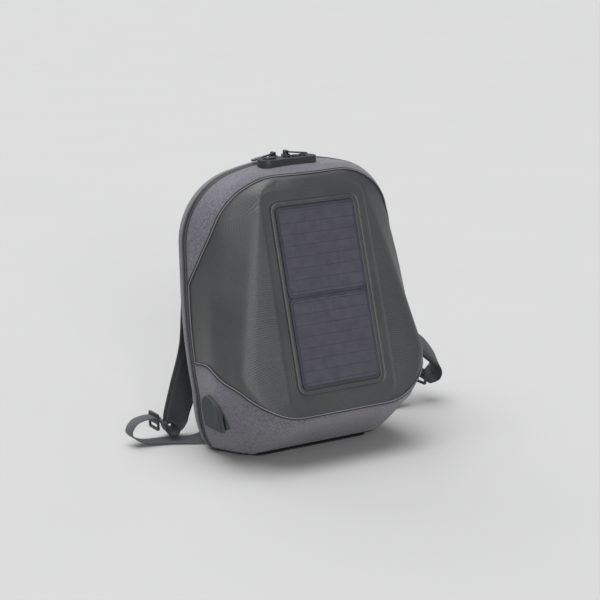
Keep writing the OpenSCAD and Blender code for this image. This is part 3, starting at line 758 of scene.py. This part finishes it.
def welt(name, shift, lift, r, material, slot, *nodes):
    """A corded edge that follows the seam; shift moves it along the surface, lift stands it out."""
    rings = [metres(seam + radial * (lift + r * math.cos(a)) + side_dir * (shift + r * math.sin(a)))
             for a in np.linspace(0, 2 * math.pi, 11)]
    run = np.concatenate([[0], np.cumsum(np.linalg.norm(np.diff(seam, axis=0), axis=1)), [0]]) * MM
    run[-1] = run[-2] + 0.002
    uv = [np.stack([run, np.full(len(run), k * r * 0.6 * MM)], 1) for k in range(11)]
    return done(loft(name, rings, material, uv), "front_half", slot, *nodes)


to_face = 1.0 if np.dot(side_dir[0], [0, -1, -0.3]) > 0 else -1.0
welt("shell_piping_cord", 0.0, 0.9, 1.15, "piping", "piping", "shell_piping")
# the welt's light line along the seam is partly painted highlight
welt("shell_edge_welt", to_face * 2.1, 0.2, 0.75, "welt", "webbing")

# ---------------- rear half
def rear_ring(d, y):
    h = rim_half(d)
    return metres(mirrored(np.stack([h[:, 0], np.full(HALF, float(y)), h[:, 1]], 1)))


BACK_PANEL_FROM = 13.5 * MM  # behind this the rear skin is the dark cloth of the back
outline = mirrored(np.stack([RIM[:, 0], 0 * Z, Z], 1))
along = np.concatenate([[0], np.cumsum(np.linalg.norm(np.diff(outline, axis=0), axis=1))])
along = np.append(along, along[-1] + 2) * MM
levels = [(0, TAPE), (0, 10), (0, 13), (0.3, 16), (1.1, 19.5), (2.4, 23), (4.2, 26), (6.5, 28.2), (9.5, 29.5),
          (14, REAR)]
rear = [rear_ring(d, y) for d, y in levels]
rear_uv = [np.stack([along, np.full(len(along), k * 0.0036)], 1) for k in range(len(levels))]
back_fill = rear[-1] * [0.2, 1, 0.2] + [0, 0, 0.17]
rear.append(back_fill)
rear_uv.append(np.concatenate([back_fill[:, [0, 2]], back_fill[:1, [0, 2]]]))
rear_skin = loft("rear_skin", rear, "melange", rear_uv, away=(0, 0, 0.21))
rear_skin.data.materials.append(M["guard"])
rear_skin.data.materials.append(M["dark"])
index = [1 if poly.center.z < BASE_GUARD_TOP else 2 if poly.center.y > BACK_PANEL_FROM else 0
         for poly in rear_skin.data.polygons]
rear_skin.data.polygons.foreach_set("material_index", index)
done(rear_skin, "rear_half", "melange_fabric", "rear_body")
inside = [rear_ring(d, y) for d, y in ((WALL, TAPE), (WALL, 17), (WALL + 2, 22), (9, 24.5), (16, 26))]
inside.append(inside[-1] * [0.2, 1, 0.2] + [0, 0, 0.17])
done(loft("rear_lining", inside, "lining", away=(0, 0, 0.21)), "rear_half", "dark_fabric")
done(loft("rear_hem", [rear_ring(0, TAPE), rear_ring(WALL, TAPE)], "dark", away=(0, 0.3, 0.2)), "rear_half",
     "dark_fabric")


# zip tapes all round the two halves, and coil teeth over the top
def tape_rings(side):
    section = [(-0.1, 7.6), (-0.7, 6.6), (-0.8, 4.2), (-0.8, 2.2), (-0.3, 1.2), (1.4, 1.0), (WALL - 1, 1.2),
               (WALL - 1, 6.9)]
    out = []
    for d, y in section:
        h = rim_half(d)
        ring = np.stack([h[:, 0], np.full(HALF, side * y), np.maximum(h[:, 1], BASE_T)], 1)
        out.append(metres(mirrored(ring)))
    return out


tape_uv = [np.stack([along, np.full(len(along), k * 0.0012)], 1) for k in range(8)]
done(loft("zip_tape_rear", tape_rings(1), "tape", tape_uv), "rear_half", "zip_tape", "rear_zipper_tape")
done(loft("zip_tape_front", tape_rings(-1), "tape", tape_uv), "front_half", "zip_tape", "front_zipper_tape")


TOOTH_PITCH, TEETH_FROM = 2.6, 24


def teeth(name, side, body, shift):
    """Coil teeth over the top, from just above the base on one side to the same height on the other."""
    start = int(np.argmin(np.abs(Z - TEETH_FROM)))
    rim = np.concatenate([outline[-start - 1:], outline[:start + 1]])
    run = np.concatenate([[0], np.cumsum(np.linalg.norm(np.diff(rim, axis=0), axis=1))])
    verts, faces, d = [], [], 1.0 + shift
    while d < run[-1] - 2:
        p = np.array([np.interp(d, run, rim[:, j]) for j in range(3)])
        q = np.array([np.interp(d + 0.5, run, rim[:, j]) for j in range(3)])
        h = (q - p) / np.linalg.norm(q - p)
        o = np.cross(h, [0, 1, 0])
        if o @ (p - [0, 0, 215]) < 0:
            o = -o
        i = len(verts)
        for y, w, up in ((0.15, 0.45, 0.5), (0.15, 0.45, -0.5), (1.9, 0.75, 0.75), (1.9, 0.75, -0.7)):
            for s in (-1, 1):
                verts.append((p + h * w * s + o * up + [0, side * y, 0] + [0, BACK_MM, 0]) * MM)
        faces += [(i, i + 1, i + 5, i + 4), (i + 2, i + 6, i + 7, i + 3), (i, i + 4, i + 6, i + 2),
                  (i + 1, i + 3, i + 7, i + 5), (i, i + 2, i + 3, i + 1), (i + 4, i + 5, i + 7, i + 6)]
        d += TOOTH_PITCH
    o = new_object(name, verts, faces, "coil", False, np.zeros((len(faces) * 4, 2)))
    return done(o, body, "zip_tape")


teeth("zip_teeth_rear", 1, "rear_half", 0.0)
teeth("zip_teeth_front", -1, "front_half", 1.3)

# fabric hinge inside the base
rows = []
for k, y in enumerate(np.linspace(-0.030, 0.004, 18)):
    zed = 0.0068 + 0.0012 * math.sin(math.pi * k / 17)
    rows.append([(x, y, zed) for x in np.linspace(-0.122, 0.122, 30)])
rows = np.array(rows)
gusset = loft("hinge_gusset", rows, "dark", rows[:, :, :2], closed=False)
thick = gusset.modifiers.new("thick", "SOLIDIFY")
thick.thickness = 0.001
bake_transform(gusset)

# ---------------- straps and webbing
LEFT = [(-50, 48, 364), (-54, 60, 376), (-62, 84, 366), (-78, 106, 310), (-96, 112, 225), (-110, 106, 140),
        (-135, 99, 76), (-150, 95, 40), (-156, 93, 19), (-168, 92, 17), (-178, 92, 32)]
RIGHT = [(50, 48, 364), (54, 60, 376), (68, 86, 366), (100, 108, 312), (144, 106, 236), (196, 90, 168),
         (244, 66, 116), (276, 50, 86), (293, 44, 62), (287, 43, 42), (270, 43, 38)]
SIDES_LEFT = [(1, 0, 0), (1, 0.1, 0), (0.95, 0.3, 0), (0.93, 0.36, 0), (0, 1, 0)]
SIDES_RIGHT = [(1, 0, 0), (1, 0.1, 0), (0.9, 0.4, 0), (0.43, 0.65, 0.1), (-0.1, 1, 0.2)]
STRAP_W, STRAP_T = 0.062, 0.011


def strap_size(s):
    w = STRAP_W * (0.8 + 0.2 * math.sin(math.pi * min(1, s * 1.25)))
    w *= 1 - 0.25 * min(1, max(0, (s - 0.87) / 0.06))
    return w, STRAP_T * (1 if s < 0.8 else 1 - 0.5 * (s - 0.8) * 5)


def strap_outline(s):
    """A foam strap: crowned middle, pinched to a bound edge."""
    w, t = strap_size(s)
    half = w / 2
    top = [(-1.0, 0.0), (-0.985, 0.16), (-0.94, 0.2), (-0.915, 0.17), (-0.88, 0.22), (-0.8, 0.36),
           (-0.68, 0.44), (-0.5, 0.48), (-0.25, 0.5), (0, 0.5)]
    full = top + [(-x, y) for x, y in top[-2::-1]]
    return [(x * half, y * t) for x, y in full] + [(x * half, -y * t * 0.9) for x, y in full[-2:0:-1]]


def binding_outline(s):
    return oval(0.0022, strap_size(s)[1] * 0.26)


def runner_outline(_):
    return [(0.0095, -0.0006), (0.0095, 0.0006), (-0.0095, 0.0006), (-0.0095, -0.0006)]


def strap(tag, route, sides):
    """A shoulder strap: its pad, two bound edges, four rows of stitches and a sewn webbing runner."""
    body = "strap_" + tag
    path = metres(catmull(route, 12))
    o = sweep("strap_pad_" + tag, path, sides, strap_outline, "strap")
    done(o, body, "dark_fabric", "shoulder_strap_" + tag)
    fr = frames_along(path, sides)
    n = len(path)
    sizes = [strap_size(k / (n - 1)) for k in range(n)]

    def beside(edge, share):
        return np.array([path[k] + f[0] * edge * sizes[k][0] / 2 * share for k, f in enumerate(fr)])

    for edge, side in ((-1, "inner"), (1, "outer")):
        tube = sweep("strap_binding_%s_%s" % (tag, side), beside(edge, 0.965), sides, binding_outline,
                     "binding")
        done(tube, body, "webbing")
    for k, (edge, face) in enumerate(((-1, -1), (-1, 1), (1, -1), (1, 1))):
        out = np.array([f[1] * face * size[1] * (0.2 if face > 0 else 0.18) for f, size in zip(fr, sizes)])
        row = beside(edge, 0.9) - out
        up = np.array([-f[1] * face for f in fr])
        done(stitches("strap_stitch_%s_%d" % (tag, k), row, up), body, "webbing")
    # a webbing runner sewn down the middle of the strap's outer face
    lo, hi = int(n * 0.14), int(n * 0.8)
    line = np.array([path[k] - fr[k][1] * (sizes[k][1] * 0.5 + 0.0005) for k in range(lo, hi)])
    s0, s1 = lo / (n - 1), (hi - 1) / (n - 1)
    local = [side_at(sides, s0 + (s1 - s0) * j / 8) for j in range(9)]
    o = sweep("strap_runner_" + tag, line, local, runner_outline, "webbing")
    soften(o, 0.0004, 2)
    done(o, body, "webbing")
    up = np.array([-f[1] for f in fr[lo:hi]])
    for edge, side in ((-1, "b"), (1, "a")):
        row = np.array([p + f[0] * edge * 0.0082 - f[1] * 0.0007 for p, f in zip(line, fr[lo:hi])])
        done(stitches("runner_stitch_%s_%s" % (tag, side), row, up), body, "webbing")


strap("left", LEFT, SIDES_LEFT)
strap("right", RIGHT, SIDES_RIGHT)

WEB_LEFT = [(-126, 42, 14), (-142, 58, 5), (-176, 78, 4), (-212, 88, 6), (-232, 92, 20), (-224, 92, 36),
            (-206, 92, 41), (-184, 92, 40)]
WEB_RIGHT = [(126, 42, 14), (142, 44, 5), (180, 44, 4), (215, 43, 8), (236, 43, 20), (243, 43, 36),
             (251, 43, 50), (275, 43, 50)]


def web_outline(_):
    """A flat band with slightly nipped edges."""
    w, t, nip = 0.025, 0.0016, 0.0006
    return [(w / 2, -t * 0.25), (w / 2, t * 0.25), (w / 2 - nip, t / 2), (w * 0.25, t * 0.5), (0, t * 0.5),
            (-w * 0.25, t * 0.5), (nip - w / 2, t / 2), (-w / 2, t * 0.25), (-w / 2, -t * 0.25),
            (nip - w / 2, -t / 2), (0, -t * 0.5), (w / 2 - nip, -t / 2)]


for tag, route in (("left", WEB_LEFT), ("right", WEB_RIGHT)):
    o = sweep("webbing_band_" + tag, metres(catmull(route, 14)), [(0, 1, 0.2), (0, 1, 0), (0, 1, 0)],
              web_outline, "webbing")
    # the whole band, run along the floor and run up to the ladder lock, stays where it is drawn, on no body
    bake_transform(o)
    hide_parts("webbing_" + tag)

# ---------------- carry handle
GRIP_ROUTE = [(-46, 0, 0), (-45, 8, 0), (-32, 20, -1), (0, 25, -2), (32, 20, -1), (45, 8, 0), (46, 0, 0)]
GRIP_AT = np.array([0, 39, 404.0])
ROD_R, ROD_HALF = 2, 65


def grip_outline(s):
    """A flattened oval, fatter in the middle of the grip."""
    fat = 0.0022 + 0.0012 * math.sin(math.pi * s) ** 0.8
    out = []
    for a in np.linspace(0, 2 * math.pi, 21)[:-1]:
        x, y = math.cos(a), math.sin(a)
        out.append((0.0102 * math.copysign(abs(x) ** 0.7, x), fat * math.copysign(abs(y) ** 0.8, y) * 0.85))
    return out


o = sweep("grip", metres(catmull(GRIP_ROUTE, 10) + GRIP_AT), [(0, 0, 1), (0, 0, 1)], grip_outline, "strap")
done(o, "handle", "webbing", "carry_handle")
rod = [[(x, GRIP_AT[1] + y, GRIP_AT[2] + z) for y, z in oval(ROD_R, ROD_R, 24)]
       for x in (-ROD_HALF, 0.4 - ROD_HALF, ROD_HALF - 0.4, ROD_HALF)]
o = loft("grip_rod", [metres(r) for r in rod], "steel", caps=True)
done(o, "handle", "steel")

# ---------------- padded back
def dome(name, cx, y0, cz, w, h, t, r, quilt, material, steps):
    """A sewn pad on the back: rounded outline, crowned face, with channels where quilt(x, z) says."""
    us = np.linspace(-1, 1, steps)
    vs = np.linspace(-1, 1, int(steps * h / w) if h > w else steps)
    rows, uvs = [], []
    for v in vs:
        row, uv = [], []
        for u in us:
            # a square grid pressed into a rounded rectangle
            x, z = u * w / 2, v * h / 2
            ex, ez = max(0, abs(x) - (w / 2 - r)), max(0, abs(z) - (h / 2 - r))
            if ex > 0 and ez > 0:
                m = max(ex, ez) / math.hypot(ex, ez)
                x = math.copysign(w / 2 - r + ex * m, x)
                z = math.copysign(h / 2 - r + ez * m, z)
                ex, ez = ex * m, ez * m
            edge = r - (math.hypot(ex, ez) if ex > 0 and ez > 0 else max(ex, ez))
            edge = min(edge, w / 2 - abs(x), h / 2 - abs(z)) if not (ex > 0 and ez > 0) else edge
            rise = min(1.0, max(0.0, edge) / (t * 1.6))
            crown = 0.9 + 0.1 * math.cos(math.pi * u / 2) * math.cos(math.pi * v / 2)
            y = t * (1 - (1 - rise) ** 2.4) ** 0.5 * crown
            y -= t * quilt(x, z) * min(1, rise * 1.2)
            row.append((cx + x * MM, y0 + y * MM, cz + z * MM))
            uv.append((x * MM, z * MM))
        rows.append(row)
        uvs.append(uv)
    o = loft(name, rows, material, uvs, closed=False, away=(cx, y0 - 0.05, cz))
    return o


def groove(d, w):
    return math.exp(-(d / w) ** 2)


# how far behind the zip line the back cover and its pads are sewn on
COVER_Y = (REAR + 0.4 + BACK_MM) * MM
PAD_Y = (REAR + 5.5 + BACK_MM) * MM


def ribs(x, z):
    return 0.42 * groove((z + 14) % 28 - 14, 2.6) + 0.3 * groove(abs(x) - 34, 2.2)


def waist(x, z):
    return 0.4 * groove((x + 18) % 36 - 18, 2.8) + 0.25 * groove(abs(z) - 38, 2.2)


def board(x, z):
    return 0.3 * groove((x + z + 12) % 24 - 12, 1.5) + 0.3 * groove((x - z + 12) % 24 - 12, 1.5)


COVER_Z, SUNK = 0.221, 0.0008
o = dome("back_cover", 0, COVER_Y, COVER_Z, 256, 352, 4.6, 28, board, "dark", steps=110)
done(o, "rear_half", "dark_fabric", "back_panel")
for tag, x in (("left", -0.062), ("right", 0.062)):
    o = dome("back_cushion_" + tag, x, PAD_Y - SUNK, 0.258, 92, 190, 10.6, 18, ribs, "mesh", steps=60)
    done(o, "rear_half", "mesh_fabric", "back_pad_" + tag)
o = dome("waist_cushion", 0, PAD_Y - SUNK, 0.098, 216, 104, 12.6, 22, waist, "mesh", steps=96)
done(o, "rear_half", "mesh_fabric", "lumbar_pad")


def ring_stitch(name, y, cz, w, h, r):
    """A row of stitches round a rounded rectangle on the back."""
    pts = rounded_outline(w * MM, h * MM, r * MM, 10)
    line = [(a, y, cz + b) for a, b in pts + pts[:1]]
    done(stitches(name, line, [(0, 1, 0)] * len(line)), "rear_half", "webbing")


ring_stitch("back_cover_stitch", (REAR + 0.4 + 4.5 + BACK_MM) * MM, COVER_Z, 246, 342, 23)

# yoke and wings
SWAP_YZ = Matrix(((1, 0, 0, 0), (0, 0, 1, 0), (0, 1, 0, 0), (0, 0, 0, 1)))
PATCH, YOKE_Z, WING_X, WING_Z = 0.003, 0.376, 0.122, 0.022
o = flat_piece("yoke_patch", rounded_outline(0.156, 0.026, 0.008), PATCH,
               Matrix.Translation((0, PAD_Y, YOKE_Z)) @ SWAP_YZ, "webbing", 0.0008)
done(o, "rear_half", "dark_fabric", "strap_yoke")
ring_stitch("yoke_stitch", PAD_Y + PATCH, YOKE_Z, 150, 20, 5)
for tag, s in (("left", -1), ("right", 1)):
    out = [(-s * 0.034, -0.014), (s * 0.018, -0.008), (s * 0.022, 0.012), (-s * 0.034, 0.020)]
    place = Matrix.Translation((s * WING_X, (REAR + BACK_MM) * MM, WING_Z)) @ SWAP_YZ
    o = flat_piece("wing_patch_" + tag, out, PATCH, place, "strap", 0.0012)
    done(o, "rear_half", "dark_fabric", "strap_wing_" + tag)
    face_y = (REAR + 3 + BACK_MM) * MM
    ring = [np.array((s * WING_X + a * 0.86, face_y, WING_Z + b * 0.8)) for a, b in out + out[:1]]
    line = [mix(ring[i], ring[i + 1], t) for i in range(4) for t in (0, 0.5)]
    done(stitches("wing_stitch_" + tag, line + [ring[0]], [(0, 1, 0)] * 9), "rear_half", "webbing")

# ---------------- pockets inside
INSET, DIP = 0.0008, 0.004


def pouch(name, low, high, wall, place, material, bulge, body, slot, node):
    """An open-topped pocket, walls inside the given box, with a slack front wall."""
    (x0, y0, z0), (x1, y1, z1) = low, high
    grid = 26
    verts, faces, uvs = [], [], []

    def sheet(fn, flip):
        i = len(verts)
        for v in range(grid + 1):
            for u in range(grid + 1):
                verts.append(fn(u / grid, v / grid))
        for v in range(grid):
            for u in range(grid):
                a = i + v * (grid + 1) + u
                f = (a, a + 1, a + grid + 2, a + grid + 1)
                faces.append(f[::-1] if flip else f)

    def sag(u, v):
        return (bulge * math.sin(math.pi * u) * math.sin(math.pi * min(1, v * 0.8 + 0.1))
                + bulge * 0.15 * math.sin(9 * u + 4 * v))

    def dip(u):
        return DIP * math.sin(math.pi * u)

    sheet(lambda u, v: (mix(x0, x1, u), y0 + INSET, mix(z0, z1, v)), False)
    sheet(lambda u, v: (mix(x0, x1, u), y1 - INSET - max(0, sag(u, v)), mix(z0, z1, v) - dip(u) * v), True)
    sheet(lambda u, v: (x0 + INSET, mix(y0, y1, u), mix(z0, z1, v)), True)
    sheet(lambda u, v: (x1 - INSET, mix(y0, y1, u), mix(z0, z1, v)), False)
    sheet(lambda u, v: (mix(x0, x1, u), mix(y0, y1, v), z0 + INSET), True)
    for f in faces:
        n = np.cross(np.array(verts[f[1]]) - verts[f[0]], np.array(verts[f[3]]) - verts[f[0]])
        k = int(np.argmax(np.abs(n)))
        uvs += [[p[j] for j in range(3) if j != k] for p in (verts[i] for i in f)]
    moved = [place @ Vector(v) for v in verts]
    o = new_object(name, moved, faces, material, True, uvs)
    t = o.modifiers.new("cloth", "SOLIDIFY")
    t.thickness = wall
    t.offset = 0
    done(o, body, slot, node)
    for k, y in enumerate((y0 + INSET, y1 - INSET)):
        line = [place @ Vector((mix(x0, x1, u), y, z1 - dip(u) * (k == 1) + 0.0005))
                for u in np.linspace(0.01, 0.99, 24)]
        tube = sweep(name + "_hem_%d" % k, np.array(line), [(0, 0, 1), (0, 0, 1)],
                     lambda _: oval(0.004, 0.0016), "binding")
        done(tube, body, "webbing")


lo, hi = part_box("laptop_sleeve")
pouch("device_sleeve", (lo[0], hi[1], lo[2]), (hi[0], lo[1], hi[2]), 0.0022, Matrix.Identity(4), "lining",
      -0.0018, "rear_half", "dark_fabric", "laptop_sleeve")
FACE_FOOT = (0, (BACK_MM - REACH) * MM, PANEL_Z * MM)
ON_FACE = Matrix.Translation(FACE_FOOT) @ Matrix.Rotation(math.pi / 2 - LEAN, 4, "X")
# face coordinates are across, up and out; the pouch is drawn across, out, up
pouch("front_organiser", (-0.070, -0.0045, 0.096), (0.070, -0.023, 0.226), 0.0016, ON_FACE @ SWAP_YZ,
      "lining", -0.0012, "front_half", "dark_fabric", "organiser_pocket")

# ---------------- panel surround
def half_panels(grow, r):
    """Half the outline of both panels together, grown by a margin."""
    half = PANEL_W / 2 + grow
    return plate_half(half, half, 2 * PANEL_H + 1 + grow, -1 - grow, r, r, 0)


rings, uvs = [], []
# margin round the panels, corner radius and height above the face
SURROUND = ((7.0, 14, -0.3), (7.0, 14, 0.1), (6.4, 13.5, 0.45), (5.4, 12.5, 0.75), (4.0, 11, 0.9),
            (2.4, 10, 0.95), (1.4, 9, 0.9), (0.9, 8.5, 0.65), (0.6, 8.3, 0.2), (0.6, 8.3, -0.3))
for grow, r, up in SURROUND:
    flat = half_panels(grow, r)
    rings.append(metres(mirrored(on_plane(flat, -up))))
    uvs.append(mirrored(flat * MM, (-1, 1)))
o = loft("panel_surround", rings, "shell", uvs, away=(0, -0.05, 0.21))
done(o, "front_half", "laminate", "panel_bezel")

# ---------------- CAD nodes that stay: finish and softened edges
KEPT = (
    ("guard", 0.0007, "base_rear base_front"),
    ("foam", 0.0003, "back_stiffener"),
    ("webbing", 0.0012, "handle_mount"),
    ("laminate", 0.0006, "solar_panel_upper solar_panel_lower"),
    ("cells", 0.0002, "solar_cells_upper solar_cells_lower"),
    ("circuit", 0.0002, "regulator_board"),
    ("black", 0.0012, "regulator_case"),
    ("black", 0.0006, "ladder_lock_left ladder_lock_right"),
    ("black", 0, "panel_lead port_lead"),
    ("rubber", 0.0016, "usb_housing"),
    ("rubber", 0.0005, "usb_cover"),
    ("steel", 0.0003, "usb_socket"),
    ("steel", 0.0002, "lock_plate"),
    ("steel", 0, "lock_axle"),
    ("lock", 0.0018, "lock_housing"),
    ("lock", 0.0008, "lock_button"),
    ("dial", 0.0003, "lock_dial_1 lock_dial_2 lock_dial_3"),
    ("gunmetal", 0.0005, "slider_left slider_right puller_left puller_right"),
)
for material, edge, names in KEPT:
    for name in names.split():
        o = NODES[name]
        o.data.materials.clear()
        o.data.materials.append(M[material])
        if edge:
            soften(o, edge, 3, weld=True)

# ---------------- studio
WIDE, FLOOR_Z = 60, -0.0005
corners = [(x * WIDE, y * WIDE, FLOOR_Z) for x, y in ((-1, -1), (1, -1), (1, 1), (-1, 1))]
floor = new_object("studio_floor", corners, [(0, 1, 2, 3)], "foam", False, np.zeros((4, 2)))
paper = Mat("studio_paper", rough=0.9, spec=0.1)
paper.colour(paper.mix(paper.noise(paper.place(), 3.0, 2), "#bababa", "#bcbcbc"))
paper.bump(paper.noise(paper.place(), 400, 2), 0.00005, 0.3)
floor.data.materials[0] = paper.m
floor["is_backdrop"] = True

world = bpy.data.worlds.new("studio")
bpy.context.scene.world = world
world.use_nodes = True
background = world.node_tree.nodes["Background"]
background.inputs["Color"].default_value = (0.96, 0.97, 1.0, 1)
background.inputs["Strength"].default_value = 0.28


def sun(name, direction, spread, power):
    light = bpy.data.lights.new(name, "SUN")
    light.angle = math.radians(spread)
    light.energy = power
    o = bpy.data.objects.new(name, light)
    o.rotation_euler = Vector(direction).to_track_quat("Z", "Y").to_euler()
    bpy.context.scene.collection.objects.link(o)


sun("key", (-0.3, -0.88, 0.3), 18, 1.4)
sun("top", (-0.14, 0.02, 0.99), 60, 2.9)
sun("back", (0.05, 0.8, 0.6), 40, 0.7)

low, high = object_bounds()
